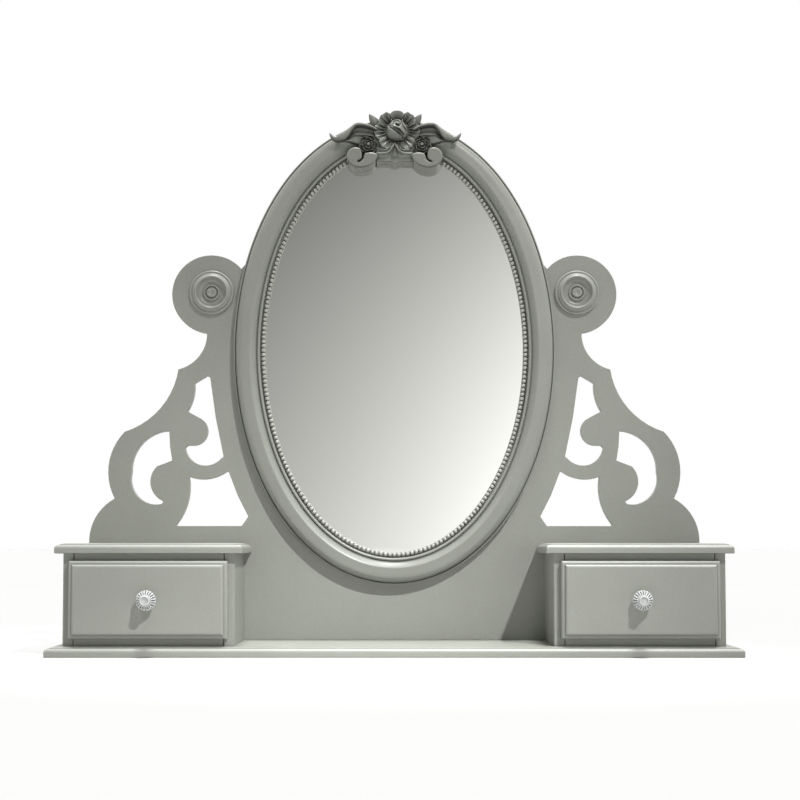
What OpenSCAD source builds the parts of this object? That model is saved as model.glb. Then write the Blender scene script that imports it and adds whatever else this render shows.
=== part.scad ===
// Dressing table mirror with two drawers.
// A fretwork back board stands on a moulded base. It carries an oval mirror in a moulded
// frame with a carved crest, and a small drawer case stands at each end.
// Origin: centre of the base board's underside. +X is the viewer's right, -Y the front, +Z up.

/* [Base] */
// Width of the base board, the widest part
base_w = 1067; // [960:1:1180]
// Depth of the base board
base_d = 200; // [190:1:230]
// Thickness of every painted board
board_t = 16; // [15:0.5:18]
// How far the base runs past the drawer cases, at the front and at each end
base_overhang = 24; // [20:1:30]

/* [Drawer cases] */
// Width of one drawer case over its sides
case_w = 264; // [240:1:280]
// Height of a case between the base and its cap
case_h = 142; // [130:1:160]
// How far a cap runs past its case
cap_overhang = 12; // [8:1:16]

/* [Drawers] */
// Width of a drawer front
front_w = 244; // [220:1:262]
// Height of a drawer front
front_h = 120; // [112:1:128]
// Thickness of a drawer front
front_t = 18; // [16:0.5:20]
// Travel of a drawer before it would tip out of its case
drawer_travel = 110; // [60:1:120]
// Radius of the cut-glass knob
knob_r = 15.5; // [13:0.5:18]

/* [Mirror] */
// Half width of the oval that the bead trim follows
oval_a = 215; // [200:1:230]
// Half height of the oval that the bead trim follows
oval_b = 335; // [320:1:345]
// Height of the oval's centre above the underside of the base
oval_z = 490; // [485:1:500]
// Thickness of the frame in front of the back board
frame_t = 24; // [20:1:28]
// Radius of a turned rosette
rosette_r = 36.5; // [30:0.5:40]

/* [Hidden] */
panel_t = board_t;
base_back = base_d / 2;
base_front = -base_d / 2;
panel_front = base_back - panel_t;
case_front = base_front + base_overhang;
case_d = panel_front - case_front;
case_outer = base_w / 2 - base_overhang;
case_inner = case_outer - case_w;
case_x = (case_outer + case_inner) / 2;
case_top = board_t + case_h;
cap_top = case_top + board_t;
// Clear opening of a case, between its boards
open_w = case_w - 2 * board_t;
open_z = 2 * board_t;
open_h = case_h - 2 * board_t;

// Drawer box: thin boards behind an applied front
front_z = open_z - (front_h - open_h) / 2;
front_gap = 0.5;
front_back = case_front - front_gap;
front_face = front_back - front_t;
box_side_gap = 1.5;
box_floor_gap = 0.5;
box_w = open_w - 2 * box_side_gap;
box_h = open_h - 6;
// Length of the box that is still in the case when the drawer is fully out
box_tail = 38;
box_l = drawer_travel + box_tail;
box_z = open_z + box_floor_gap;
box_t = 10;
bottom_t = 4;
bottom_rise = 6;
groove = 5;
groove_gap = 0.25;

// Knob and its screw
knob_z = front_z + front_h / 2;
ferrule_r = 9;
ferrule_l = 6;
knob_l = 21;
// Flat table on the knob's face
table_r = 7.5;
screw_r = 2;
screw_gap = 0.1;

// Frame section, as offsets outwards from the bead oval and heights above the back board
frame_outer = 49;
lip = 6.5;
glass_t = 4;
backing_t = 3;
rebate_h = glass_t + backing_t;
glass_offset = 15;
bead_r = 3.4;
// How far the back board stays inside the frame's outer edge, and the ring step where each wing
// runs in behind the frame
panel_inset = 8;
panel_crown_step = 7;

// Wood screws: shank radius, head radius and head depth
ws_r = 2;
ws_head_r = 4;
ws_head_h = 2.6;
ws_sink = 0.4;
dowel_r = 4;
dowel_gap = 0.05;
dowel_l = 28;
// Wood left over a dowel's end in the side board
dowel_cover = 3;

// Rosettes on the ears
ear = [301.5, 586.6];

$fn = 48;
ring_n = 96;

paint = "#94968e";
bare_wood = "#cdb48c";

// ---------------------------------------------------------------- outlines

// The arc from p up to q, without q, whose middle stands bow to the left of the way from p to q
function bowed_edge(p, q, bow) =
    let (c = norm(q - p))
    bow == 0 ? [p] :
    let (r = (c * c / 4 + bow * bow) / (2 * abs(bow)),
         left = [p.y - q.y, q.x - p.x] / c,
         centre = (p + q) / 2 + left * (bow - sign(bow) * r),
         sweep = -sign(bow) * 4 * atan(2 * abs(bow) / c),
         start = atan2(p.y - centre.y, p.x - centre.x),
         n = max(2, ceil(abs(sweep) / 7)))
    [for (i = [0:n - 1]) centre + r * [cos(start + sweep * i / n), sin(start + sweep * i / n)]];

// A closed outline from rows of [x, z, bow of the edge that starts there]
function bowed(rows) =
    [for (i = [0:len(rows) - 1])
        let (p = rows[i], q = rows[(i + 1) % len(rows)])
        each bowed_edge([p[0], p[1]], [q[0], q[1]], p[2])];

// An open edge from the same rows, with its last point kept
function bowed_path(rows) =
    concat([for (i = [0:len(rows) - 2])
        let (p = rows[i], q = rows[i + 1])
        each bowed_edge([p[0], p[1]], [q[0], q[1]], p[2])],
        [[rows[len(rows) - 1][0], rows[len(rows) - 1][1]]]);

// Left edge of the fretwork, going up: straight behind the case, lobe, swept neck, round ear
scroll_edge = [
    [-case_outer, board_t, 0], [-case_outer, cap_top, 0], [-500, cap_top, 12], [-459, 247, 18],
    [-443.5, 357, -19.5], [-356, 460, -13.5], [-309, 520, 89], [-253, 627, 0]];

upper_slot = [
    [-329, 437, 0], [-309, 449, 1.6], [-303, 443, -2], [-281, 318, 1.2], [-284, 313.5, 20],
    [-344, 330, 0], [-340, 334, 0], [-331, 334, -18.4], [-320, 379.5, 0], [-340.5, 390.5, -4]];

crescent = [
    [-372, 358, -18.5], [-431.5, 290, -19.5], [-383, 238, -1], [-379.5, 242.5, 15.6],
    [-390, 300, 0], [-365, 309.5, 1.3], [-370, 356, -1]];

lower_gap = [
    [-337, 282.5, -7.8], [-276, 290.5, 1.5], [-271, 288, -2], [-239.5, 217.5, 0], [-250, 202, 0],
    [-356, 202, 1], [-356.5, 205, -8.6]];

// ---------------------------------------------------------------- oval sections

// A point of the oval set out by o along its normal
function oval_point(t, o) =
    let (n = [cos(t) / oval_a, sin(t) / oval_b])
    [oval_a * cos(t), oval_b * sin(t)] + o * n / norm(n);

function oval_outline(o) = [for (i = [0:ring_n - 1]) oval_point(360 * i / ring_n, o)];

// A ring whose section is a closed list of [offset from the oval, height above the back board]
module oval_ring(section) {
    m = len(section);
    points = [for (i = [0:ring_n - 1]) for (s = section)
        let (p = oval_point(360 * i / ring_n, s.x)) [p.x, panel_front - s.y, oval_z + p.y]];
    faces = [for (i = [0:ring_n - 1]) for (j = [0:m - 1])
        let (k = (i + 1) % ring_n, l = (j + 1) % m)
        each [[i * m + j, k * m + j, k * m + l], [i * m + j, k * m + l, i * m + l]]];
    polyhedron(points, faces);
}

// A flat oval plate between two heights above the back board
module oval_plate(o, low, high) {
    translate([0, panel_front - low, oval_z]) rotate([90, 0, 0])
        linear_extrude(high - low) polygon(oval_outline(o));
}

// From the outer edge inwards: astragal, cove, broad crown, quirk, inner lip, rebate
frame_section = [
    [frame_outer, 0], [frame_outer, 10], [frame_outer - 1.7, 12], [frame_outer - 3.7, 10.8],
    [frame_outer - 6, 15], [frame_outer - 10.5, frame_t - 3.6], [frame_outer - 16, frame_t - 1],
    [27, frame_t], [19, frame_t - 0.8], [13, frame_t - 4], [10.8, frame_t - 7.4],
    [9.6, frame_t - 6.4], [7.6, frame_t - 7.6], [lip, frame_t - 10], [lip, rebate_h],
    [glass_offset + 1, rebate_h], [glass_offset + 1, 0]];

// Plinth with a half-round bead on it
bead_section = concat(
    [[-3.8, rebate_h], [-3.8, rebate_h + 4.5]],
    [for (a = [180:-45:0]) [bead_r * cos(a), rebate_h + 5 + bead_r * sin(a)]],
    [[3.8, rebate_h + 4.5], [3.8, rebate_h]]);

// ---------------------------------------------------------------- moulded boards

ovolo_r = 6;
fillet = 0.8;
// Edge moulding from the bottom up, as [distance in from the edge, height]
function moulding(t) = concat(
    [[1, 0], [0, 1]],
    [for (a = [180:-15:90]) [ovolo_r + ovolo_r * cos(a), t - 2.5 - ovolo_r + ovolo_r * sin(a)]],
    [[ovolo_r + 1, t - 2.5], [ovolo_r + 1, t - 2.5 + fillet], [ovolo_r + 9, t]]);

// Front edge of a drawer, from its back face forwards
function front_moulding(t) = concat(
    [[0, 0]],
    [for (a = [180:-18:90]) [5 + 5 * cos(a), t - 10 + 5 * sin(a)]],
    [[6, t - 5], [6, t - 4]],
    [for (a = [20:20:80]) [6 + 5 * (1 - cos(a)), t - 4 + 4 * sin(a)]],
    [[11, t]]);

// A board lying flat, moulded along its front and both ends and square at the back
module moulded_board(w, d, t) {
    edge = moulding(t);
    intersection() {
        rotate([90, 0, 90]) linear_extrude(w, center = true)
            polygon(concat([for (p = edge) [-d / 2 + p.x, p.y]], [[d / 2, t], [d / 2, 0]]));
        rotate([90, 0, 0]) linear_extrude(d, center = true)
            polygon(concat([for (p = edge) [-w / 2 + p.x, p.y]],
                           [for (i = [len(edge) - 1:-1:0]) [w / 2 - edge[i].x, edge[i].y]]));
    }
}

// ---------------------------------------------------------------- fasteners

// Countersunk screw pointing along +Z, its head flush with z = 0 and cross-slotted
module wood_screw(l) {
    difference() {
        union() {
            cylinder(h = ws_head_h, r1 = ws_head_r, r2 = ws_r);
            cylinder(h = l - 4, r = ws_r);
            translate([0, 0, l - 4]) cylinder(h = 4, r1 = ws_r, r2 = 0.4);
        }
        for (a = [0, 90]) rotate(a) translate([-2.2, -0.4, -1]) cube([4.4, 0.8, 2.4]);
    }
}

// The countersunk hole that a screw goes through
module screw_hole(l) {
    translate([0, 0, -1]) cylinder(h = 1.01, r = ws_head_r + screw_gap);
    cylinder(h = ws_head_h, r1 = ws_head_r + screw_gap, r2 = ws_r + screw_gap);
    cylinder(h = l, r = ws_r + screw_gap);
}

module up_from_base(x, y) { translate([x, y, ws_sink]) children(); }
module in_from_rear(x, z) { translate([x, base_back - ws_sink, z]) rotate([90, 0, 0]) children(); }

base_screw_l = 42;
panel_screw_l = 42;
frame_screw_l = 30;
crest_screw_l = 46;
cap_screw_l = 24;
front_screw_l = 20;

module at_base_screws() {
    for (s = [-1, 1]) for (x = [case_outer - board_t / 2, case_inner + board_t / 2])
        for (y = [case_front + 26, panel_front - 34]) up_from_base(s * x, y) children();
    for (x = [-150, 0, 150]) up_from_base(x, panel_front + panel_t / 2) children();
}

module at_panel_screws() {
    for (s = [-1, 1]) for (x = [case_outer - board_t / 2, case_inner + board_t / 2])
        for (z = [board_t + 34, case_top - 28]) in_from_rear(s * x, z) children();
}

module at_frame_screws() {
    for (a = [22.5:45:360]) {
        p = oval_point(a, 28);
        in_from_rear(p.x, oval_z + p.y) children();
    }
}

module at_crest_screws() { for (x = [-40, 40]) in_from_rear(x, 848) children(); }

// ---------------------------------------------------------------- base and back

module base_board() {
    color(paint) difference() {
        moulded_board(base_w, base_d, board_t);
        at_base_screws() screw_hole(board_t + 1);
    }
}

// The whole outline, one wing, the top of the oval behind the frame, and the other wing
function panel_outline() =
    let (wing = bowed_path(scroll_edge), crown = panel_crown_step)
    concat(
        wing,
        [for (i = [ring_n / 2 - crown:-1:crown])
            oval_point(360 * i / ring_n, frame_outer - panel_inset) + [0, oval_z]],
        [for (i = [len(wing) - 1:-1:0]) [-wing[i].x, wing[i].y]]);

module back_panel() {
    color(paint) difference() {
        translate([0, base_back, 0]) rotate([90, 0, 0]) linear_extrude(panel_t) difference() {
            polygon(panel_outline());
            for (gap = [upper_slot, crescent, lower_gap]) {
                polygon(bowed(gap));
                mirror([1, 0, 0]) polygon(bowed(gap));
            }
        }
        at_panel_screws() screw_hole(panel_t + 1);
        at_frame_screws() screw_hole(panel_t + 1);
        at_crest_screws() screw_hole(panel_t + 1);
    }
}

module base_screws() { color("silver") at_base_screws() wood_screw(base_screw_l); }
module panel_screws() { color("silver") at_panel_screws() wood_screw(panel_screw_l); }
module frame_screws() { color("silver") at_frame_screws() wood_screw(frame_screw_l); }
module crest_screws() { color("silver") at_crest_screws() wood_screw(crest_screw_l); }

// ---------------------------------------------------------------- mirror

module mirror_frame() { color(paint) oval_ring(frame_section); }
module bead_trim() { color("#c9cac4") oval_ring(bead_section); }
module mirror_glass() { color("#c8ccca") oval_plate(glass_offset, backing_t, rebate_h); }
module mirror_backing() { color("#8a6a48") oval_plate(glass_offset, 0, backing_t); }

// Turned rosette: rim, sunk dish and centre button
module rosette() {
    r = rosette_r;
    color(paint) translate([ear.x, panel_front, ear.y]) rotate([90, 0, 0]) rotate_extrude()
        polygon([[0, 0], [r, 0], [r, 3], [r - 1.5, 6], [r - 4, 7.5], [r - 5, 7.5], [r - 6, 9],
                 [r - 9, 11.5], [r - 11.5, 12], [r - 13.5, 10.5], [r - 17, 7], [r - 21, 5.5],
                 [r - 24, 6.5], [r - 26, 9.5], [r - 28, 10], [r - 29.5, 9.2], [0, 9.8]]);
}

// ---------------------------------------------------------------- crest

// Back of the carving where it is glued down on the frame, and where it stands clear of the beads
crest_back = 22;
crest_clear = 16;
crest_z = 850;
// Outline of one leaf wing, curling up at its tip
wing = [
    [20, crest_z + 12, 4], [60, crest_z + 13, 2], [92, crest_z - 8, -3], [108, crest_z - 5, 0],
    [106, crest_z - 17, 3], [70, crest_z - 21, 0], [20, crest_z - 10, 0]];
// Small pointed leaf behind the flower
back_leaf = [[26, crest_z + 8, 0], [44, crest_z + 27, 0], [51, crest_z + 15, 0], [40, crest_z + 2, 0]];
// Band under the flower, with its ogee lower edge
skirt = [
    [-30, 828, 0], [-30, 799.5, 0], [-12, 800, 1], [0, 795, 1], [12, 800, 0], [30, 799.5, 0],
    [30, 828, 0]];

// Extrudes a flat shape forwards from one height above the back board to another
module relief(low, high) {
    translate([0, panel_front - low, 0]) rotate([90, 0, 0]) linear_extrude(high - low) children();
}

module crest_half() {
    relief(crest_back, 34) polygon(bowed(wing));
    relief(crest_back, 30) polygon(bowed(back_leaf));
    relief(crest_back, 42) translate([45, 829]) circle(15);
    relief(crest_clear, 43) translate([62, 806]) circle(18);
    relief(crest_clear, 43) translate([44, 804]) circle(16);
}

module crest() {
    color("#868880") union() {
        crest_half();
        mirror([1, 0, 0]) crest_half();
        relief(crest_back, 38) translate([0, crest_z]) circle(35);
        relief(crest_back, 38) translate([0, crest_z + 22]) circle(12);
        relief(crest_clear, 36) polygon(bowed(skirt));
        translate([0, panel_front - 28, crest_z]) sphere(16);
    }
}

// ---------------------------------------------------------------- drawer cases

// Dowels lie along X through the butt joints of a case, two at each of its four corners
module dowels(r) {
    for (x = [case_inner + dowel_cover, case_outer - dowel_cover - dowel_l])
        for (z = [board_t * 1.5, case_top - board_t / 2])
            for (y = [case_front + 40, panel_front - 50])
                translate([x, y, z]) rotate([0, 90, 0]) cylinder(h = dowel_l, r = r);
}

module case_side(x) {
    color(paint) difference() {
        translate([x, case_front, board_t]) cube([board_t, case_d, case_h]);
        dowels(dowel_r);
    }
}

module case_outer_side() { case_side(case_outer - board_t); }
module case_inner_side() { case_side(case_inner); }

module at_cap_screws() {
    for (x = [-80, 80]) for (y = [-30, 50])
        translate([case_x + x, y, case_top - board_t + ws_sink]) children();
}

module case_level(z) {
    translate([case_inner + board_t, case_front, z]) cube([open_w, case_d, board_t]);
}

module case_top_board() {
    color(paint) difference() {
        case_level(case_top - board_t);
        dowels(dowel_r);
        at_cap_screws() screw_hole(board_t + 1);
    }
}

module case_bottom_board() {
    color(paint) difference() {
        case_level(board_t);
        dowels(dowel_r);
    }
}

module case_cap() {
    color(paint) translate([case_x, panel_front - (case_d + cap_overhang) / 2, case_top])
        moulded_board(case_w + 2 * cap_overhang, case_d + cap_overhang, board_t);
}

module case_dowels() { color(bare_wood) dowels(dowel_r - dowel_gap); }
module cap_screws() { color("silver") at_cap_screws() wood_screw(cap_screw_l); }

// ---------------------------------------------------------------- drawers

// Screws that hold the applied front, driven forwards from inside the box
module at_front_screws() {
    for (x = [-75, 75])
        translate([case_x + x, front_back + box_t - ws_sink, knob_z]) rotate([90, 0, 0]) children();
}

// A straight bore along Y at the knob
module knob_bore(from, to, r) {
    translate([case_x, from, knob_z]) rotate([90, 0, 0]) cylinder(h = from - to, r = r);
}

module drawer_front() {
    edge = front_moulding(front_t);
    color(paint) difference() {
        translate([case_x, front_back, front_z + front_h / 2]) intersection() {
            rotate([90, 0, 0]) rotate([90, 0, 90]) linear_extrude(front_w, center = true)
                polygon(concat([for (p = edge) [-front_h / 2 + p.x, p.y]],
                               [for (i = [len(edge) - 1:-1:0]) [front_h / 2 - edge[i].x, edge[i].y]]));
            rotate([90, 0, 0]) rotate([90, 0, 0]) linear_extrude(front_h, center = true)
                polygon(concat([for (p = edge) [-front_w / 2 + p.x, p.y]],
                               [for (i = [len(edge) - 1:-1:0]) [front_w / 2 - edge[i].x, edge[i].y]]));
        }
        knob_bore(front_back + 1, front_face - 1, screw_r + screw_gap);
    }
}

module bottom_panel(grow) {
    translate([case_x - box_w / 2 + box_t - groove - grow, front_back + box_t - groove - grow,
               box_z + bottom_rise - grow])
        cube([box_w - 2 * box_t + 2 * groove + 2 * grow, box_l - 2 * box_t + 2 * groove + 2 * grow,
              bottom_t + 2 * grow]);
}

module box_board(x, y, w, l) {
    color(bare_wood) difference() {
        translate([x, y, box_z]) cube([w, l, box_h]);
        bottom_panel(groove_gap);
        children();
    }
}

module drawer_box_outer_side() { box_board(case_x + box_w / 2 - box_t, front_back, box_t, box_l); }
module drawer_box_inner_side() { box_board(case_x - box_w / 2, front_back, box_t, box_l); }

module drawer_box_front() {
    box_board(case_x - box_w / 2 + box_t, front_back, box_w - 2 * box_t, box_t) {
        knob_bore(front_back + box_t + 1, front_back - 1, screw_r + screw_gap);
        at_front_screws() screw_hole(box_t + 1);
    }
}

module drawer_box_back() {
    box_board(case_x - box_w / 2 + box_t, front_back + box_l - box_t, box_w - 2 * box_t, box_t);
}

module drawer_bottom() { color(bare_wood) bottom_panel(0); }
module drawer_front_screws() { color("silver") at_front_screws() wood_screw(front_screw_l); }

module knob_ferrule() {
    color("silver") difference() {
        translate([case_x, front_face, knob_z]) rotate([90, 0, 0]) rotate_extrude()
            polygon([[0, 0], [ferrule_r, 0], [ferrule_r, 1.2], [ferrule_r - 1.5, 2.2], [6, 2.6],
                     [5, 3.4], [5, ferrule_l - 1], [6, ferrule_l], [0, ferrule_l]]);
        knob_bore(front_face + 1, front_face - ferrule_l - 1, screw_r + screw_gap);
    }
}

// Cut-glass knob: broad skirt close to the drawer, and a crown that narrows to a dished table
module knob() {
    k = knob_r;
    color("#e8ecec", 0.6) difference() {
        translate([case_x, front_face - ferrule_l, knob_z]) rotate([90, 0, 0]) rotate_extrude()
            polygon([[0, 0], [6, 0], [8.5, 1], [k - 1.5, 3], [k, 5], [k, 6.5], [k - 1.5, 8.5],
                     [table_r + 2, 15], [table_r, 16.5], [table_r, knob_l - 1],
                     [table_r - 1, knob_l], [table_r - 2, knob_l], [0, knob_l - 2]]);
        knob_bore(front_face - ferrule_l + 1, front_face - ferrule_l - 10, screw_r + screw_gap);
    }
}

module knob_screw() {
    l = box_t + front_t + ferrule_l + 9;
    color("silver") translate([case_x, front_back + box_t, knob_z]) rotate([90, 0, 0]) difference() {
        union() {
            cylinder(h = l, r = screw_r);
            translate([0, 0, -2.5]) cylinder(h = 2.5, r = 4.5);
        }
        for (a = [0, 90]) rotate(a) translate([-2.5, -0.45, -3]) cube([5, 0.9, 1.7]);
    }
}

// ---------------------------------------------------------------- assembly

// Draws a part of the right-hand side under its own name, and its mirror image for the left
module pair(name) {
    children();
    mirror([1, 0, 0]) children();
}

base_board();
back_panel();
mirror_frame();
bead_trim();
mirror_glass();
mirror_backing();
crest();
crest_screws();
frame_screws();
panel_screws();
base_screws();
pair("rosette") rosette();
pair("case_outer_side") case_outer_side();
pair("case_inner_side") case_inner_side();
pair("case_top_board") case_top_board();
pair("case_bottom_board") case_bottom_board();
pair("case_cap") case_cap();
pair("case_dowels") case_dowels();
pair("cap_screws") cap_screws();
pair("drawer_front") drawer_front();
pair("drawer_box_front") drawer_box_front();
pair("drawer_box_back") drawer_box_back();
pair("drawer_box_outer_side") drawer_box_outer_side();
pair("drawer_box_inner_side") drawer_box_inner_side();
pair("drawer_bottom") drawer_bottom();
pair("drawer_front_screws") drawer_front_screws();
pair("knob_ferrule") knob_ferrule();
pair("knob") knob();
pair("knob_screw") knob_screw();
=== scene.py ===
import math

import bmesh
import bpy
from mathutils import Matrix, Vector


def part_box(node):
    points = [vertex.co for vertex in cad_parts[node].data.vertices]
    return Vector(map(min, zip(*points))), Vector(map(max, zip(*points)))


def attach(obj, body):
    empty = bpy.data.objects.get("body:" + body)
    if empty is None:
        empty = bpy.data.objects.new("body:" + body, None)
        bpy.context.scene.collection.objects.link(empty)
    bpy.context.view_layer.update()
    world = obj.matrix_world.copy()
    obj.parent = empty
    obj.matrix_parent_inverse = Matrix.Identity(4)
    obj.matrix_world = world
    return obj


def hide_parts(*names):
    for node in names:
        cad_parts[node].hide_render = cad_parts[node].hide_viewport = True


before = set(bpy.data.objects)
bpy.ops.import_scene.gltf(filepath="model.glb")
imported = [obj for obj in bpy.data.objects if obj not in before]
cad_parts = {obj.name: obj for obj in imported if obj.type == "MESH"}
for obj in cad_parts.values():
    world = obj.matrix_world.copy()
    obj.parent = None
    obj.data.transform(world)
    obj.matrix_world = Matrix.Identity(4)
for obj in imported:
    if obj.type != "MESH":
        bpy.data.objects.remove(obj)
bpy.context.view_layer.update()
mm = 0.001

# ---------------------------------------------------------------- studio
# A white paper floor in a white room, a soft box overhead, a key light high on the right and
# a weaker light on the left. The camera stands low in front and looks slightly up.


def linear(code):
    """An sRGB hex colour as linear red, green, blue and alpha."""
    channels = [int(code[i:i + 2], 16) / 255 for i in (1, 3, 5)]
    return [c / 12.92 if c < 0.04045 else ((c + 0.055) / 1.055) ** 2.4 for c in channels] + [1.0]


def add_node(tree, kind, inputs, **settings):
    """Adds a shader node. An input is a plain value, or another node's output to link."""
    node = tree.nodes.new("ShaderNode" + kind)
    for name, value in settings.items():
        setattr(node, name, value)
    for socket, value in inputs.items():
        if isinstance(value, bpy.types.NodeSocket):
            tree.links.new(value, node.inputs[socket])
        else:
            node.inputs[socket].default_value = value
    return node


def new_material(name):
    """An empty material and its node tree."""
    material = bpy.data.materials.new(name)
    material.use_nodes = True
    material.node_tree.nodes.clear()
    return material, material.node_tree


def surface(tree, inputs):
    """Ends a material's tree in one principled shader."""
    shader = add_node(tree, "BsdfPrincipled", inputs)
    add_node(tree, "OutputMaterial", {"Surface": shader.outputs["BSDF"]})
    return shader


scene = bpy.context.scene
scene.view_settings.view_transform = "Standard"

camera = bpy.data.objects.new("camera", bpy.data.cameras.new("camera"))
camera.location = (0, -2.587, 0.175)
camera.rotation_euler = (math.radians(93.32), 0, 0)
camera.data.lens = 73.25
camera.data.shift_x = 0.0071
camera.data.shift_y = 0.06
scene.collection.objects.link(camera)
scene.camera = camera

# Matt paper shows an even pale tone that hardly changes, and no shine.
paper, tree = new_material("white_studio_paper")
fibres = add_node(tree, "TexNoise", {"Scale": 40.0, "Detail": 4.0})
tint = add_node(tree, "MixRGB", {"Fac": fibres.outputs["Fac"], "Color1": linear("#b9b9b9"),
                                 "Color2": linear("#bebebd")})
surface(tree, {"Base Color": tint.outputs["Color"], "Roughness": 0.9, "Specular IOR Level": 0.2})

# The floor reaches 40 m each way, so its edge is the horizon.
bm = bmesh.new()
bmesh.ops.create_grid(bm, x_segments=2, y_segments=2, size=40.0)
floor_mesh = bpy.data.meshes.new("studio_floor")
bm.to_mesh(floor_mesh)
bm.free()
floor_mesh.materials.append(paper)
studio_floor = bpy.data.objects.new("studio_floor", floor_mesh)
scene.collection.objects.link(studio_floor)

for name, place, aim, size, spread, watts in (
        ("key_light", (1.83, -2.96, 4.14), (-0.09, 0, -0.03), 0.15, 16, 3.0),
        ("second_light", (-1.3, -2.0, 2.5), (0, 0, 0.1), 0.12, 60, 0.5)):
    lamp = bpy.data.lights.new(name, "AREA")
    lamp.shape = "DISK"
    lamp.size = size
    lamp.spread = math.radians(spread)
    lamp.energy = watts
    light = bpy.data.objects.new(name, lamp)
    light.location = place
    light.rotation_euler = (Vector(aim) - Vector(place)).to_track_quat("-Z", "Y").to_euler()
    scene.collection.objects.link(light)
sky = bpy.data.lights.new("overhead_box", "SUN")
sky.energy = 3.9
sky.angle = math.radians(10)
overhead = bpy.data.objects.new("overhead_box", sky)
overhead.rotation_euler = Vector((-0.05, 0.04, -1)).to_track_quat("-Z", "Y").to_euler()
scene.collection.objects.link(overhead)

# The room is white behind the object and dim in front, with one broad window that the mirror
# sees. The window's light falls off upwards and to the left.
world = bpy.data.worlds.new("studio_room")
world.use_nodes = True
tree = world.node_tree
tree.nodes.clear()
way = add_node(tree, "SeparateXYZ", {"Vector": add_node(tree, "TexCoord", {}).outputs["Generated"]})
ahead = add_node(tree, "Math", {0: way.outputs["Y"], 1: -1.0}, operation="MULTIPLY")
ahead = add_node(tree, "Math", {0: ahead.outputs[0], 1: 0.05}, operation="MAXIMUM")
rise = add_node(tree, "Math", {0: way.outputs["Z"], 1: ahead.outputs[0]}, operation="DIVIDE")
turn = add_node(tree, "Math", {0: way.outputs["X"], 1: ahead.outputs[0]}, operation="DIVIDE")
level = add_node(tree, "MapRange", {"Value": rise.outputs[0], "From Min": 0.0, "From Max": 0.255,
                                    "To Min": 0.87, "To Max": 0.24})
swing = add_node(tree, "MapRange", {"Value": turn.outputs[0], "From Min": -0.102, "From Max": 0.102,
                                    "To Min": -0.6, "To Max": 0.6})
gain = add_node(tree, "Math", {0: swing.outputs[0]}, operation="EXPONENT")
window = add_node(tree, "Math", {0: level.outputs[0], 1: gain.outputs[0]}, operation="MULTIPLY")
aside = add_node(tree, "Math", {0: turn.outputs[0]}, operation="ABSOLUTE")
within = add_node(tree, "MapRange", {"Value": aside.outputs[0], "From Min": 0.14, "From Max": 0.8,
                                     "To Min": 1.0, "To Max": 0.0})
under = add_node(tree, "MapRange", {"Value": rise.outputs[0], "From Min": 0.26, "From Max": 0.7,
                                    "To Min": 1.0, "To Max": 0.0})
pane = add_node(tree, "Math", {0: within.outputs[0], 1: under.outputs[0]}, operation="MULTIPLY")
front = add_node(tree, "MixRGB", {"Fac": pane.outputs[0], "Color1": linear("#757574"),
                                  "Color2": window.outputs[0]})
behind = add_node(tree, "MapRange", {"Value": way.outputs["Y"], "From Min": -0.5, "From Max": 0.1})
# Seen directly, the room is plain white on every side. Only reflections show the window.
sight = add_node(tree, "LightPath", {})
white = add_node(tree, "Math", {0: behind.outputs[0], 1: sight.outputs["Is Camera Ray"]},
                 operation="MAXIMUM")
room = add_node(tree, "MixRGB", {"Fac": white.outputs[0], "Color1": front.outputs["Color"],
                                 "Color2": linear("#ffffff")})
glow = add_node(tree, "Background", {"Color": room.outputs["Color"], "Strength": 1.0})
add_node(tree, "OutputWorld", {"Surface": glow.outputs["Background"]})
scene.world = world

# ---------------------------------------------------------------- painted boards
# Fibreboard cut and routed to shape, primed and rolled with satin cabinet paint. The arrises
# are eased by sanding, so each board is its own solid with slightly rounded edges.


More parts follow.
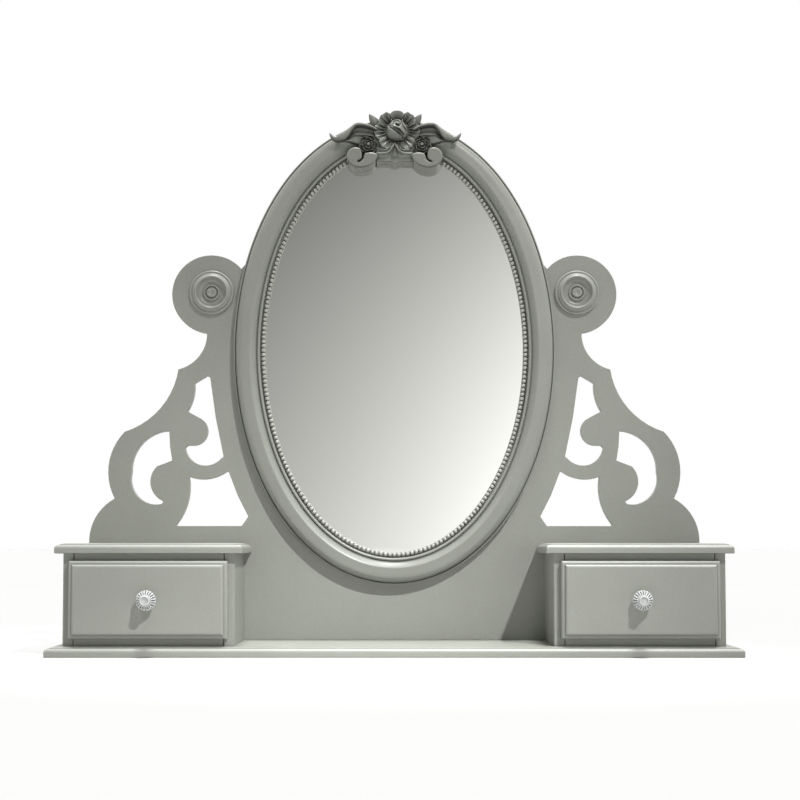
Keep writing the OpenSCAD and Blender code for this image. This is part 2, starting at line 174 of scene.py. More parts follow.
def satin_paint(name, thin, thick, hollow, under, reach=12):
    """Satin paint, with a soft broad shine and painted shade: darker in hollows and on faces turned down.
    """
    material, tree = new_material(name)
    spot = add_node(tree, "TexCoord", {}).outputs["Object"]
    # The coat is thicker and thinner over a hand's breadth, 80 mm.
    cloud = add_node(tree, "TexNoise", {"Vector": spot, "Scale": 12.0, "Detail": 3.0})
    # Roller stipple is about 1 mm across. It is drawn at 3 mm, so that it shows.
    stipple = add_node(tree, "TexNoise", {"Vector": spot, "Scale": 330.0, "Detail": 2.0})
    coat = add_node(tree, "MixRGB", {"Fac": cloud.outputs["Fac"], "Color1": linear(thin),
                                     "Color2": linear(thick)})
    speck = add_node(tree, "MapRange", {"Value": stipple.outputs["Fac"], "From Min": 0.3,
                                        "From Max": 0.7, "To Min": 0.96, "To Max": 1.03})
    # Painted shade: the colour is darker in corners and carving, within reach of the next face, in mm.
    occlusion_for_painted_shade = add_node(tree, "AmbientOcclusion", {"Distance": reach * mm}, samples=6, only_local=True)
    painted_hollow_shade = add_node(tree, "MapRange", {"Value": occlusion_for_painted_shade.outputs["AO"], "From Min": 0.3,
                                         "From Max": 0.95, "To Min": hollow, "To Max": 1.0})
    # Painted shade: faces turned down are darker, down to a share of the colour.
    facing = add_node(tree, "SeparateXYZ", {"Vector": add_node(tree, "NewGeometry", {}).outputs["Normal"]})
    painted_underside_shade = add_node(tree, "MapRange", {"Value": facing.outputs["Z"], "From Min": -0.9,
                                          "From Max": -0.15, "To Min": under, "To Max": 1.0})
    shade = add_node(tree, "Math", {0: speck.outputs[0], 1: painted_hollow_shade.outputs[0]}, operation="MULTIPLY")
    shade = add_node(tree, "Math", {0: shade.outputs[0], 1: painted_underside_shade.outputs[0]}, operation="MULTIPLY")
    colour = add_node(tree, "MixRGB", {"Fac": 1.0, "Color1": coat.outputs["Color"],
                                       "Color2": shade.outputs[0]}, blend_type="MULTIPLY")
    sheen = add_node(tree, "MapRange", {"Value": cloud.outputs["Fac"], "To Min": 0.32, "To Max": 0.42})
    peel = add_node(tree, "Bump", {"Height": stipple.outputs["Fac"], "Strength": 0.35,
                                   "Distance": 0.06 * mm})
    surface(tree, {"Base Color": colour.outputs["Color"], "Roughness": sheen.outputs[0],
                   "Normal": peel.outputs["Normal"], "IOR": 1.48})
    return material


# Painted shade leaves half the colour in hollows and 0.8 of it on faces turned down.
paint = satin_paint("satin_cabinet_paint_on_fibreboard", "#8b8d86", "#94968e", 0.5, 0.8)


def finished(bm, name, body, material, smooth_below=35):
    """Turns a bmesh into a smooth-shaded piece that rides on a body."""
    mesh = bpy.data.meshes.new(name)
    bm.to_mesh(mesh)
    bm.free()
    mesh.materials.append(material)
    mesh.shade_smooth()
    mesh.set_sharp_from_angle(angle=math.radians(smooth_below))
    piece = bpy.data.objects.new(name, mesh)
    scene.collection.objects.link(piece)
    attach(piece, body)
    return piece


def keep_flats_flat(piece):
    """Leans the shading at rounded edges on the large faces beside them."""
    weighting = piece.modifiers.new("flat_faces", "WEIGHTED_NORMAL")
    weighting.mode = "FACE_AREA"
    weighting.weight = 100
    weighting.keep_sharp = True


def eased_board(node, name, body, material, radius, gap=0.0):
    """A copy of a CAD board with its sharp edges sanded to a radius, and a gap at each end."""
    bm = bmesh.new()
    bm.from_mesh(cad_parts[node].data)
    if gap:
        low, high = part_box(node)
        middle = Matrix.Translation((low + high) / -2)
        bmesh.ops.scale(bm, vec=(1 - 2 * gap / (high.x - low.x), 1, 1), space=middle, verts=bm.verts)
    bmesh.ops.remove_doubles(bm, verts=bm.verts, dist=0.01 * mm)
    bmesh.ops.dissolve_limit(bm, verts=bm.verts, edges=bm.edges, angle_limit=math.radians(0.5))
    arrises = [e for e in bm.edges if e.is_manifold and e.calc_face_angle() > math.radians(40)]
    bmesh.ops.bevel(bm, geom=arrises, offset=radius, segments=2, profile=0.5, affect="EDGES",
                    material=-1)
    piece = finished(bm, name, body, material)
    keep_flats_flat(piece)
    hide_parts(node)
    return piece


moulded = ["base_board", "left_case_cap", "right_case_cap"]
flat = [f"{side}_{board}" for side in ("left", "right")
        for board in ("case_outer_side", "case_inner_side", "case_top_board", "case_bottom_board")]
for board in moulded + flat + ["back_panel"]:
    softness = 0.2 if board in moulded else 0.7
    # The rails stop just short of the sides, which leaves a fine dark line at each joint.
    joint = 0.9 * mm if board.endswith(("top_board", "bottom_board")) else 0.0
    eased_board(board, "painted_" + board, "carcase", paint, softness * mm, joint)

# ---------------------------------------------------------------- mirror frame
# A moulding of constant width round the oval, screwed on from behind: a small bead outside, a
# rounded shoulder, a broad crown, a quirk, and a lip that holds the glass. Every size is taken
# outwards from the oval that the beads follow, and forwards from the back board.

bead_low, bead_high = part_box("bead_trim")
panel_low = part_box("back_panel")[0]
plinth = 3.8 * mm
half_wide = (bead_high.x - bead_low.x) / 2 - plinth
half_high = (bead_high.z - bead_low.z) / 2 - plinth
oval_z = (bead_high.z + bead_low.z) / 2
panel_front = panel_low.y
oval_steps = 288


def oval_point(angle, offset):
    """A point at an offset outside the bead oval, as x and height above its middle."""
    across, up = math.cos(angle) / half_wide, math.sin(angle) / half_high
    grow = offset / math.hypot(across, up)
    return Vector((half_wide * math.cos(angle) + across * grow,
                   half_high * math.sin(angle) + up * grow))


def swept_oval(bm, section):
    """A closed ring whose section is a list of (offset, height) in millimetres."""
    verts = [bm.verts.new((1 + offset * mm, -height * mm, 0)) for offset, height in section]
    edges = [bm.edges.new(pair) for pair in zip(verts, verts[1:] + verts[:1])]
    bmesh.ops.spin(bm, geom=verts + edges, cent=(0, 0, 0), axis=(0, 1, 0), steps=oval_steps,
                   angle=2 * math.pi, use_merge=True)
    bmesh.ops.remove_doubles(bm, verts=bm.verts, dist=0.01 * mm)
    for vert in bm.verts:
        point = oval_point(math.atan2(vert.co.z, vert.co.x), math.hypot(vert.co.x, vert.co.z) - 1)
        vert.co = (point.x, panel_front + vert.co.y, oval_z + point.y)
    bmesh.ops.recalc_face_normals(bm, faces=bm.faces)


def arc(middle, radius, start, end, steps):
    """Points on an arc, with angles in degrees; the radius may be one number or two."""
    wide, high = radius if isinstance(radius, tuple) else (radius, radius)
    turns = [math.radians(start + (end - start) * i / steps) for i in range(steps + 1)]
    return [(middle[0] + wide * math.cos(a), middle[1] + high * math.sin(a)) for a in turns]


def through(points, share):
    """A smooth curve through given points, at a share of its way."""
    place = min(share, 0.99999) * (len(points) - 1)
    i = int(place)
    t = place - i
    p0, p1 = points[max(i - 1, 0)], points[i]
    p2, p3 = points[i + 1], points[min(i + 2, len(points) - 1)]
    return [0.5 * (2 * b + (c - a) * t + (2 * a - 5 * b + 4 * c - d) * t * t
                   + (3 * b - a - 3 * c + d) * t ** 3) for a, b, c, d in zip(p0, p1, p2, p3)]


crown = [(40.4, 19.6), (37.5, 21.4), (33, 22.5), (27, 23.3), (22.4, 23.9), (20.2, 23.2), (17, 20.8),
         (13.6, 17.8), (11.6, 16.0)]
moulding = (
    [(49, 0), (49, 9.4)]
    + arc((47.4, 10.4), 1.6, 0, 165, 8)
    + [(45.4, 10.4)]
    + arc((36.0, 11.0), (9.4, 10.0), 0, 55, 7)
    + [through(crown, i / 28) for i in range(29)]
    + [(11.0, 15.2), (10.4, 15.8)]
    + arc((7.8, 15.6), 2.4, 20, 170, 9)
    + [(5.3, 15.0), (5.2, 14.0), (5.2, 7), (16, 7), (16, 0)])
bm = bmesh.new()
swept_oval(bm, moulding)
# The frame's copy of the cabinet paint is a little darker, as painted shade, with stronger painted shade in
# its hollows.
frame_paint_darkened = satin_paint("satin_paint_on_moulded_frame", "#868881", "#8f918a", 0.45, 0.8)
ring = finished(bm, "moulded_oval_frame", "carcase", frame_paint_darkened, smooth_below=50)
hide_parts("mirror_frame")

# ---------------------------------------------------------------- bead trim
# A wooden pearl moulding pressed round the edge of the glass: a thin flat plinth with one
# bead every 7.3 mm, painted with the frame.

bead_count = 240
bead_radius = 3.35 * mm


def evenly_round_oval(count, offset):
    """Angles that stand at even distances along the oval."""
    fine = 1440
    points = [oval_point(2 * math.pi * i / fine, offset) for i in range(fine + 1)]
    run = [0.0]
    for here, there in zip(points, points[1:]):
        run.append(run[-1] + (there - here).length)
    angles, i = [], 0
    for k in range(count):
        while run[i + 1] < run[-1] * k / count:
            i += 1
        part = (run[-1] * k / count - run[i]) / (run[i + 1] - run[i])
        angles.append(2 * math.pi * (i + part) / fine)
    return angles


bm = bmesh.new()
swept_oval(bm, [(-3.6, 7), (-3.6, 8.6), (-3.2, 9.0), (3.0, 9.0), (3.4, 7.6), (6.4, 7.6), (6.4, 7)])
for angle in evenly_round_oval(bead_count, 0):
    point = oval_point(angle, 0)
    middle = Matrix.Translation((point.x, panel_front - 11.9 * mm, oval_z + point.y))
    bmesh.ops.create_uvsphere(bm, u_segments=12, v_segments=8, radius=bead_radius, matrix=middle)
# The beads' copy of the paint is lighter, as a painted highlight, and darkens strongly between the beads as
# painted shade.
bead_paint_lightened_and_shaded = satin_paint("satin_paint_on_beads_lightened_and_shaded", "#a3a59d", "#acaea6", 0.2, 1.0, reach=7)
beads = finished(bm, "bead_moulding", "carcase", bead_paint_lightened_and_shaded, smooth_below=60)
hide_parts("bead_trim")

# ---------------------------------------------------------------- mirror glass
# Float glass silvered on the back, held in the frame's rebate by a sheet of hardboard. Both
# CAD plates stay, and the glass has the finish of its silvering.

silvering, tree = new_material("silvered_float_glass")
spot = add_node(tree, "TexCoord", {}).outputs["Object"]
# Silvering gives a bright, clear reflection. Float glass rolls very slightly, over about
# 200 mm, so the reflection is a little less sharp in places.
roll = add_node(tree, "TexNoise", {"Vector": spot, "Scale": 5.0, "Detail": 1.0})
haze = add_node(tree, "MapRange", {"Value": roll.outputs["Fac"], "To Min": 0.012, "To Max": 0.03})
surface(tree, {"Base Color": linear("#f4f4ee"), "Metallic": 1.0, "Roughness": haze.outputs[0]})

hardboard, tree = new_material("bare_hardboard")
spot = add_node(tree, "TexCoord", {}).outputs["Object"]
# Pressed fibres about 4 mm long give a matt brown fleck, more even in patches 70 mm across.
felt = add_node(tree, "TexNoise", {"Vector": spot, "Scale": 260.0, "Detail": 6.0, "Roughness": 0.7})
patch = add_node(tree, "TexNoise", {"Vector": spot, "Scale": 14.0, "Detail": 2.0})
fibre = add_node(tree, "MixRGB", {"Fac": felt.outputs["Fac"], "Color1": linear("#6e4a2c"),
                                  "Color2": linear("#a67b51")})
tone = add_node(tree, "MixRGB", {"Fac": patch.outputs["Fac"], "Color1": fibre.outputs["Color"],
                                 "Color2": linear("#8d6540")})
pressed = add_node(tree, "Bump", {"Height": felt.outputs["Fac"], "Strength": 0.4, "Distance": 0.1 * mm})
surface(tree, {"Base Color": tone.outputs["Color"], "Roughness": 0.62, "Normal": pressed.outputs["Normal"]})


def give(material, *nodes):
    """Puts a finish on CAD nodes that keep their shape."""
    for node in nodes:
        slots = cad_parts[node].data.materials
        slots.clear()
        slots.append(material)


give(silvering, "mirror_glass")
give(hardboard, "mirror_backing")

# ---------------------------------------------------------------- rosettes
# Turned wooden roundels glued to the ears of the back board: an outer bead, a flat, a raised
# rim, a deep dish and a button in the middle.


def turned(bm, profile, middle, steps):
    """Spins a list of (radius, height) in millimetres about a line that runs to the front."""
    verts = [bm.verts.new((r * mm, -h * mm, 0)) for r, h in profile]
    edges = [bm.edges.new(pair) for pair in zip(verts, verts[1:])]
    bmesh.ops.spin(bm, geom=verts + edges, cent=(0, 0, 0), axis=(0, 1, 0), steps=steps,
                   angle=2 * math.pi, use_merge=True)
    bmesh.ops.remove_doubles(bm, verts=bm.verts, dist=0.005 * mm)
    bmesh.ops.recalc_face_normals(bm, faces=bm.faces)
    bmesh.ops.translate(bm, vec=middle, verts=bm.verts)


roundel = (
    [(0, 0), (36.6, 0), (36.6, 3.2)]
    + arc((34.4, 3.6), 2.2, 0, 130, 8)
    + [(32.4, 5.4), (31.8, 5.6)]
    + arc((29.4, 6.2), (2.2, 2.8), 0, 90, 5)
    + [(28.6, 9.4)]
    + arc((26.2, 9.2), (2.2, 2.7), 20, 165, 8)
    + [(23.4, 8.0), (21.0, 5.0), (18.0, 3.2), (15.4, 2.8), (14.2, 3.2)]
    + arc((12.0, 4.4), (2.0, 2.2), 10, 170, 7)
    + [(9.6, 4.0), (8.9, 4.4)]
    + arc((6.2, 6.0), (2.3, 3.0), 0, 90, 6)
    + [(4.4, 8.6), (3.4, 7.4), (1.6, 7.0), (0, 7.0)])
# The roundels' copy of the paint is a little lighter, as painted light, with milder painted shade in the
# dish and on faces turned down.
roundel_paint_lightened = satin_paint("satin_paint_on_turned_wood", "#8d8f88", "#969890", 0.74, 0.85, reach=6)
for side in ("left", "right"):
    low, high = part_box(side + "_rosette")
    bm = bmesh.new()
    turned(bm, roundel, Vector(((low.x + high.x) / 2, high.y, (low.z + high.z) / 2)), 96)
    piece = finished(bm, side + "_turned_roundel", "carcase", roundel_paint_lightened, smooth_below=40)
    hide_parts(side + "_rosette")

# ---------------------------------------------------------------- crest
# A resin carving glued and screwed to the top of the frame: an opening bud in a ring of
# ruffled petals, a small rose each side, a scroll under each rose, a leaf wing that curls up
# at its tip, and a scalloped apron between the scrolls. Painted with the frame.

crest_x = 1.5
scroll_x = crest_x - 1
bud_z = 850.0
petal_foot = 11


def carved(bm, place, along, across, thickness=0.0):
    """Bends a grid with place(s, t), both 0 to 1, which gives x, z and height off the board."""
    sheet = bmesh.ops.create_grid(bm, x_segments=along, y_segments=across, size=0.5)["verts"]
    for vert in sheet:
        x, z, height = place(vert.co.x + 0.5, vert.co.y + 0.5)
        vert.co = (x * mm, panel_front - height * mm, z * mm)
    faces = list({face for vert in sheet for face in vert.link_faces})
    bmesh.ops.remove_doubles(bm, verts=sheet, dist=0.02 * mm)
    faces = [face for face in faces if face.is_valid]
    bmesh.ops.recalc_face_normals(bm, faces=faces)
    if sum(face.normal.y * face.calc_area() for face in faces) > 0:
        bmesh.ops.reverse_faces(bm, faces=faces)
    if thickness:
        bmesh.ops.solidify(bm, geom=faces, thickness=thickness * mm)


def mix(a, b, share):
    """The number that stands at a share of the way from a to b."""
    return a + (b - a) * share


def bump(x, middle, width):
    """A smooth hump of height 1 at middle."""
    return math.exp(-((x - middle) / width) ** 2)


def petal(bm, middle, angle, spread, reach, ridges, root, rim):
    """One petal of a ring; the angle is in degrees from straight up, clockwise."""
    def place(s, t):
        side = 2 * t - 1
        turn = math.radians(angle + spread * side * (0.75 + 0.25 * s))
        edge = reach * (1 - 0.13 * side ** 4 - 0.05 * side ** 2)
        scallop = 0.6 * math.cos(math.pi * ridges * side) * s ** 3
        out = mix(petal_foot, edge + scallop, s)
        flute = 1.9 * math.cos(math.pi * ridges * side) * math.sin(math.pi * min(1, s * 0.62 + 0.2))
        lip = 1.8 * bump(s, 1.0, 0.12)
        lift = mix(root, rim, s ** 1.3) + (flute if ridges else 0.9 * side ** 2) - lip
        return middle[0] + out * math.sin(turn), middle[1] + out * math.cos(turn), lift
    carved(bm, place, 14, 6 * max(ridges, 2) + 2, 2.4)


def distance_to(line, x, z):
    """The distance from (x, z) to a line through points."""
    nearest = 9.0
    for (ax, az), (bx, bz) in zip(line, line[1:]):
        run = Vector((bx - ax, bz - az))
        share = max(0, min(1, run.dot(Vector((x - ax, z - az))) / run.length_squared))
        nearest = min(nearest, math.hypot(ax + run.x * share - x, az + run.y * share - z))
    return nearest


bm = bmesh.new()
flower = (crest_x + 3.0, bud_z + 0.8)
# Each petal: its angle, half its spread, its reach, its ridges, and its height at root and rim.
for angle, spread, reach, ridges, root, rim in (
        (0, 24, 32.4, 0, 21, 34), (-47, 25, 36, 3, 22, 35), (47, 25, 36, 3, 22, 35),
        (-95, 27, 37.5, 4, 24, 37), (95, 27, 37.5, 4, 24, 37),
        (-140, 24, 37, 3, 25, 38), (140, 24, 37, 3, 25, 38), (180, 20, 31, 2, 24, 34)):
    petal(bm, flower, angle, spread, reach, ridges, root, rim)

# Folds of the bud as lines across a disc of radius 1, x to the right and z up.
folds = [[(-0.9, 0.5), (-0.67, 0.2), (-0.2, -0.08), (0.33, -0.47), (0.5, -0.8)],
         [(-0.5, 0.3), (-0.32, 0.12), (0.27, -0.13), (0.55, -0.45)],
         [(-0.46, 0.4), (-0.36, 0.68), (-0.1, 0.82), (0.2, 0.74), (0.32, 0.5), (0.16, 0.3), (-0.06, 0.4)],
         [(0.45, 0.75), (0.6, 0.25), (0.86, -0.1)]]
bud_wide, bud_tall, bud_deep = 17.3, 19.0, 14.2
bud_seat = 28.5


def bud(s, t):
    """An egg with its petals folded over each other in an S."""
    turn, lean = 2 * math.pi * t, math.pi * (0.01 + 0.6 * s)
    x, z = math.sin(lean) * math.sin(turn), math.sin(lean) * math.cos(turn)
    wide = bud_wide * (1 - 0.14 * z)
    cut = -3.4 * max(bump(distance_to(line, x, z), 0, 0.08) for line in folds)
    ridge = 1.5 * min(1, max(0, (0.5 - s) / 0.2))
    for line in folds[:3]:
        cut += ridge * bump(distance_to(line, x, z - 0.16), 0, 0.08)
    cut *= min(1, max(0, (0.7 - s) / 0.16))
    return flower[0] + x * wide, flower[1] + z * bud_tall, bud_seat + bud_deep * math.cos(lean) + cut


carved(bm, bud, 56, 120)

# A rose's section from the middle outwards: radius and height off the board.
whorls = [(0, 41), (1.4, 42.0), (2.6, 41.2), (3.1, 35.6), (4.6, 37.4), (5.8, 41.2), (6.6, 40.6),
          (7.2, 32.6), (8.8, 34.6), (10.2, 39.6), (11.0, 39.0), (11.6, 30.6), (13.2, 32.4),
          (14.8, 37.6), (15.6, 36.8), (15.8, 31), (14.6, 24)]


def rose(middle, hand):
    """A small rose: whorls of petals with rolled lips, each whorl deeper than the one inside."""
    def place(s, t):
        row = round(s * (len(whorls) - 1))
        radius, lift = whorls[row]
        whorl = (row + 1) // 4
        count = (1, 3, 5, 5, 5)[whorl]
        turn = 2 * math.pi * t
        arch = abs(math.cos(0.5 * count * (turn - 0.7 * whorl)))
        radius *= 1 + 0.3 * (arch ** 0.7 - 0.8) * (row > 3)
        lift -= 3.0 * (1 - arch) ** 2 * (row > 3)
        return middle[0] + hand * radius * math.sin(turn), middle[1] + radius * math.cos(turn), lift
    return place


# The upper and lower edges of a wing, x from the crest's middle and z, from root to tip.
wing_top = [(30, 853), (41, 860), (51, 863), (59.3, 864), (67.5, 861.5), (73.5, 857), (81.7, 851.5),
            (88.8, 846.8), (95.9, 843), (101, 842.4), (104.8, 844.2), (108.4, 846.4)]
wing_foot = [(30, 830), (40, 828), (50, 827), (61.4, 826.9), (71.5, 829.9), (78, 831.8), (83.7, 833),
             (90, 832.2), (95, 832.2), (100.5, 833.6), (104.6, 836.4), (107.6, 840.8)]
# Rows across the wing, as a share of its width and a height below its crown.
roll_rows = [(0.0, -14), (0.05, -4.5), (0.25, -0.8), (0.55, 0), (0.85, -1.0), (1.0, -4.5)]
blade_rows = [(0.01, -13), (0.2, -13.5), (0.38, -8.5), (0.47, -5.4), (0.52, -10.5), (0.72, -6.5),
              (0.92, -7.5), (1.0, -10), (1.0, -16)]


def wing(hand):
    """One leaf: a rolled upper edge over a hollow blade, and the roll folds over to the tip."""
    def place(s, t):
        top, foot = through(wing_top, s), through(wing_foot, s)
        rolled = min(1, max(0, (s - 0.3) / 0.26))
        rolled = mix(0.2, 1, rolled * rolled * (3 - 2 * rolled))
        row = round(t * (len(roll_rows) + len(blade_rows) - 1))
        if row < len(roll_rows):
            share, lift = roll_rows[row]
            share *= rolled
        else:
            share, lift = blade_rows[row - len(roll_rows)]
            share = rolled + (1 - rolled) * share
            if row < len(roll_rows) + len(blade_rows) - 1:
                lift = mix(-5.5, lift, min(1, (1 - rolled) / 0.4))
        crown = 40 + bump(s, 0.42, 0.1) - 3.5 * bump(s, 0.78, 0.12) + 0.5 * math.cos(40 * s) * (s > 0.35)
        width = math.hypot(top[0] - foot[0], top[1] - foot[1])
        lift *= min(1, width / 11)
        return crest_x + hand * mix(top[0], foot[0], share), mix(top[1], foot[1], share), crown + lift
    return place


def back_leaf(hand):
    """A short pointed leaf behind the petals, folded along its midrib."""
    def place(s, t):
        side = 2 * t - 1
        half = 12.5 * (1 - s) ** 0.6 * (1 - 0.25 * bump(s, 0, 0.3)) + 0.2
        x = mix(25, 43.0, s) - side * half * 0.8
        z = mix(853, 878, s) + side * half * 0.6
        return crest_x + hand * x, z, mix(29, 32, s) - 5.0 * abs(side) * (1 - 0.6 * s)
    return place


def tongue(s, t):
    """The pointed leaf in the middle of the apron, its point upwards."""
    side = 2 * t - 1
    half = mix(0.4, 5.6, math.sin(math.pi * 0.5 * s) ** 1.2) * (1 - 0.45 * bump(s, 1.0, 0.08))
    return scroll_x + side * half, mix(827.5, 805.5, s), 34 + 5 * (1 - abs(side)) * (0.4 + 0.6 * s)


def rib(points, radius):
    """A round carved line through points of x, z and height."""
    def place(s, t):
        x, z, lift = through(points, s)
        ahead = through(points, min(1, s + 0.02))
        back = through(points, max(0, s - 0.02))
        run = Vector((ahead[0] - back[0], ahead[1] - back[1])).normalized()
        turn = 2 * math.pi * t
        thick = radius * min(1, 0.35 + 6 * s, 0.35 + 6 * (1 - s))
        out = thick * math.cos(turn)
        return x - run.y * out, z + run.x * out, lift + thick * math.sin(turn)
    return place


for hand in (-1, 1):
    carved(bm, rose((crest_x + hand * 43.8, 826.0), hand), len(whorls) - 1, 60)
    carved(bm, wing(hand), 48, len(roll_rows) + len(blade_rows) - 1)
    carved(bm, back_leaf(hand), 12, 8, 2.4)
    scallop = [(31, 812, 36), (23, 811, 37), (16, 811.3, 38), (9, 814.5, 38.5), (4.5, 820, 38.5),
               (0.4, 828, 37)]
    carved(bm, rib([(scroll_x + hand * x, z, lift) for x, z, lift in scallop], 1.8), 40, 10)
    fold = [(27, 819, 33), (19, 817, 35), (12, 817.8, 36), (7, 822, 36)]
    carved(bm, rib([(scroll_x + hand * x, z, lift) for x, z, lift in fold], 1.5), 26, 8)
carved(bm, tongue, 12, 10, 2.0)
# The carving's copy of the paint is darker, as painted shade, with strong painted shade in its hollows and
# most of all on its undersides.
cast = satin_paint("satin_paint_on_cast_resin", "#7e807a", "#888a82", 0.34, 0.22, reach=7)
flowers = finished(bm, "crest_flowers_and_leaves", "carcase", cast, smooth_below=75)
softened = flowers.modifiers.new("softened_carving", "SUBSURF")
softened.levels = softened.render_levels = 1
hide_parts("crest")


def relief(bm, outline, low, high, rounding, steps=4):
    """A raised shape with a rolled edge; the outline is a list of (x, z) in millimetres."""
    verts = [bm.verts.new((x * mm, panel_front - low * mm, z * mm)) for x, z in outline]
    face = bm.faces.new(verts)
    face.normal_update()
    if face.normal.y > 0:
        face.normal_flip()
    grown = bmesh.ops.extrude_face_region(bm, geom=[face])["geom"]
    top = [item for item in grown if isinstance(item, bmesh.types.BMFace)][0]
    rise = Vector((0, -(high - low - rounding) * mm, 0))
    bmesh.ops.translate(bm, vec=rise, verts=list(top.verts))
    for i in range(steps):
        a, b = math.pi / 2 * i / steps, math.pi / 2 * (i + 1) / steps
        bmesh.ops.inset_region(bm, faces=[top], thickness=rounding * (math.cos(a) - math.cos(b)) * mm,
                               depth=rounding * (math.sin(b) - math.sin(a)) * mm)
    bmesh.ops.recalc_face_normals(bm, faces=bm.faces)


bm = bmesh.new()
# Heights off the back board. The scrolls and the apron start just off the glass.
scroll_foot, scroll_face, apron_face = 7.4, 42.5, 31
volute_outline = [
    (57, 819), (62, 820.5), (69, 820), (75, 816), (78.5, 809), (78.2, 802), (75, 795.5), (69.5, 790.5),
    (62, 787.5), (54, 787), (45, 788.8), (38, 792), (32.5, 797), (29, 803), (28, 808), (31, 811),
    (40, 812.5), (48.5, 811)]
curl = [(50.5, 806.5), (52, 801.5), (55.5, 798), (60.2, 796.6), (60.4, 797.5), (56.5, 799.3), (54, 802.5),
        (53.2, 806.5), (54, 812)]
for hand in (-1, 1):
    smooth = [through(volute_outline, i / 71) for i in range(72)]
    slit = [through(curl, i / 23) for i in range(24)]
    relief(bm, [(scroll_x + hand * x, z) for x, z in smooth + slit], scroll_foot, scroll_face,
           3.4, steps=5)
apron = [(-30, 824), (-31, 812), (-30, 798.3), (-18, 799.3), (-8.5, 799.3), (-4, 797.4), (0, 795),
         (4, 797.4), (8.5, 799.3), (18, 799.3), (30, 798.3), (31, 812), (30, 824)]
relief(bm, [(crest_x - 0.5 + x, z) for x, z in apron], scroll_foot, apron_face, 1.2, steps=3)
ground = [(-58, 836), (-50, 822), (-30, 815), (30, 815), (50, 822), (58, 836), (50, 856), (28, 862),
          (-28, 862), (-50, 856)]
relief(bm, [(crest_x + x, z) for x, z in ground], 22.5, 27, 1.5, steps=2)
scrolls = finished(bm, "crest_scrolls_and_apron", "carcase", cast, smooth_below=40)
keep_flats_flat(scrolls)

# ---------------------------------------------------------------- drawers
# Solid painted fronts with a routed edge, screwed from inside to boxes of bare pine with
# hardboard bottoms. They slide on the floors of their cases.

pine, tree = new_material("bare_sanded_pine")
spot = add_node(tree, "TexCoord", {}).outputs["Object"]
# Bare pine is pale and matt. Growth rings show as lines about 7 mm apart that run along each
# board, and pores as dashes 11 mm long.
stretched = add_node(tree, "Mapping", {"Vector": spot, "Scale": (1.0, 1.0, 9.0)})
rings = add_node(tree, "TexWave", {"Vector": stretched.outputs["Vector"], "Scale": 5.0, "Distortion": 5.0,
                                   "Detail": 3.0, "Detail Scale": 1.4}, bands_direction="Z")
pores = add_node(tree, "TexNoise", {"Vector": stretched.outputs["Vector"], "Scale": 90.0, "Detail": 5.0})
early = add_node(tree, "MixRGB", {"Fac": rings.outputs["Fac"], "Color1": linear("#e2c594"),
                                  "Color2": linear("#c89f66")})
grain = add_node(tree, "MixRGB", {"Fac": pores.outputs["Fac"], "Color1": early.outputs["Color"],
                                  "Color2": linear("#d9b983")})
raised = add_node(tree, "Bump", {"Height": pores.outputs["Fac"], "Strength": 0.3, "Distance": 0.1 * mm})
surface(tree, {"Base Color": grain.outputs["Color"], "Roughness": 0.58, "Normal": raised.outputs["Normal"]})

for side in ("left", "right"):
    drawer = side + "_drawer"
    eased_board(side + "_drawer_front", "painted_" + side + "_drawer_front", drawer,
                paint, 0.25 * mm)
    for board in ("drawer_box_front", "drawer_box_back", "drawer_box_outer_side",
                  "drawer_box_inner_side"):
        eased_board(f"{side}_{board}", f"pine_{side}_{board}", drawer, pine, 0.6 * mm)
    eased_board(side + "_drawer_bottom", "hardboard_" + side + "_drawer_bottom", drawer,
                hardboard, 0.3 * mm)
    give(pine, side + "_case_dowels")

# ---------------------------------------------------------------- knobs
# Moulded clear crystal with a fluted skirt close to the drawer and a dished table in front,
# on a plated ferrule, held by a screw through the drawer front.

crystal, tree = new_material("moulded_clear_crystal")
spot = add_node(tree, "TexCoord", {}).outputs["Object"]
# Moulded crystal is clear with a sharp shine. It has faint flow marks, 4 mm long.
flow = add_node(tree, "TexNoise", {"Vector": spot, "Scale": 240.0, "Detail": 1.0})
ripple = add_node(tree, "Bump", {"Height": flow.outputs["Fac"], "Strength": 0.15, "Distance": 0.1 * mm})
# Painted shade: the colour turns grey in the bottoms of the flutes, which are 3 mm deep.
occlusion_for_painted_shade = add_node(tree, "AmbientOcclusion", {"Distance": 3 * mm}, samples=6, only_local=True)
clear = add_node(tree, "MapRange", {"Value": occlusion_for_painted_shade.outputs["AO"], "From Min": 0.45, "From Max": 0.95})
# The white base colour, with the crystal only partly clear, is painted brightness for the white the crystal
# reflects.
tint = add_node(tree, "MixRGB", {"Fac": clear.outputs[0], "Color1": linear("#7d8180"),
                                 "Color2": linear("#fbfdfd")})
surface(tree, {"Base Color": tint.outputs["Color"], "Roughness": 0.04, "IOR": 1.52,
               "Transmission Weight": 0.6, "Normal": ripple.outputs["Normal"]})

plating, tree = new_material("polished_nickel_plate")
spot = add_node(tree, "TexCoord", {}).outputs["Object"]
# Buffed nickel shines like a mirror, with a faint haze in patches 2 mm across.
swirl = add_node(tree, "TexNoise", {"Vector": spot, "Scale": 500.0, "Detail": 2.0})
polish = add_node(tree, "MapRange", {"Value": swirl.outputs["Fac"], "To Min": 0.12, "To Max": 0.24})
surface(tree, {"Base Color": linear("#d9d8d2"), "Metallic": 1.0, "Roughness": polish.outputs[0]})

flutes = 20
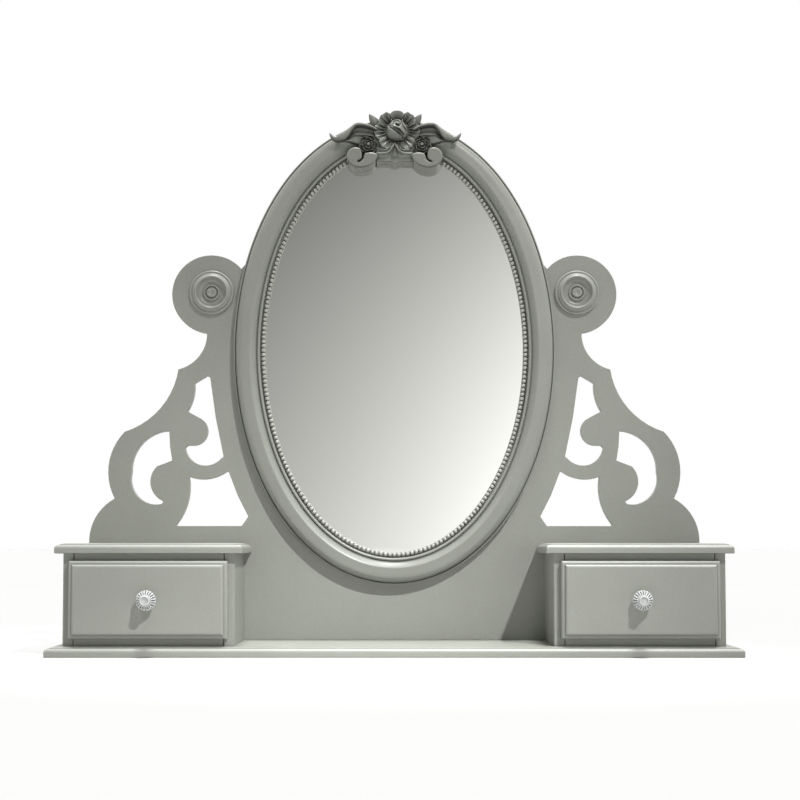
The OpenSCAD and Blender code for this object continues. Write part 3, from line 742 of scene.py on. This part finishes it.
# The knob's section: radius, and height off its back face.
skirt = [(0, 0.0), (6, 0.0), (8.6, 0.9), (12.0, 2.0), (14.2, 3.2), (15.4, 4.8), (15.5, 6.0), (14.8, 7.6),
         (13.4, 9.4), (11.8, 11.5), (10.2, 12.8), (8.6, 13.2), (7.6, 13.8), (7.2, 15.4), (7.6, 18.0),
         (7.7, 19.8), (7.1, 20.7), (6.3, 20.9), (5.5, 20.4), (4.6, 18.6), (2.4, 17.8), (0, 17.6)]
for side in ("left", "right"):
    drawer = side + "_drawer"
    low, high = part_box(side + "_knob")
    middle = Vector(((low.x + high.x) / 2, high.y, (low.z + high.z) / 2))
    bm = bmesh.new()
    turned(bm, skirt, Vector((0, 0, 0)), flutes * 8)
    for vert in bm.verts:
        radius = math.hypot(vert.co.x, vert.co.z)
        turn = math.atan2(vert.co.z, vert.co.x)
        cut = abs(math.sin(flutes / 2 * turn)) ** 0.7
        on_crown = bump(radius / mm, 12.2, 2.5) if vert.co.y < -2.5 * mm else 0.0
        shrink = 1 - 0.16 * (1 - cut) * on_crown
        vert.co.x *= shrink
        vert.co.z *= shrink
        vert.co.y += 3.2 * mm * (1 - cut) * on_crown * (vert.co.y < -6.5 * mm)
    bmesh.ops.translate(bm, vec=middle, verts=bm.verts)
    piece = finished(bm, side + "_crystal_knob", drawer, crystal, smooth_below=22)
    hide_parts(side + "_knob")

    low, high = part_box(side + "_knob_ferrule")
    bm = bmesh.new()
    turned(bm, [(0, 0), (9, 0), (9, 0.9), (8.6, 1.4), (7.6, 1.9), (6.4, 2.3), (5.4, 2.8), (5.0, 3.5),
                (5.0, 4.9), (5.4, 5.5), (6.0, 6.0), (0, 6.0)],
           Vector(((low.x + high.x) / 2, high.y, (low.z + high.z) / 2)), 64)
    piece = finished(bm, side + "_plated_ferrule", drawer, plating)
    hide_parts(side + "_knob_ferrule")

# ---------------------------------------------------------------- screws
# Zinc-plated countersunk wood screws with cross slots, driven from below, from behind and
# from inside the drawers. Their CAD shapes stay, with a plated finish.

zinc, tree = new_material("zinc_plated_steel")
spot = add_node(tree, "TexCoord", {}).outputs["Object"]
# Zinc plate has a dull grey shine that clouds in patches 3 mm across.
bloom = add_node(tree, "TexNoise", {"Vector": spot, "Scale": 320.0, "Detail": 3.0})
plated = add_node(tree, "MixRGB", {"Fac": bloom.outputs["Fac"], "Color1": linear("#a9a89f"),
                                   "Color2": linear("#cfccc0")})
dull = add_node(tree, "MapRange", {"Value": bloom.outputs["Fac"], "To Min": 0.28, "To Max": 0.45})
surface(tree, {"Base Color": plated.outputs["Color"], "Metallic": 1.0, "Roughness": dull.outputs[0]})

give(zinc, "base_screws", "panel_screws", "frame_screws", "crest_screws")
for side in ("left", "right"):
    give(zinc, side + "_cap_screws", side + "_drawer_front_screws", side + "_knob_screw")
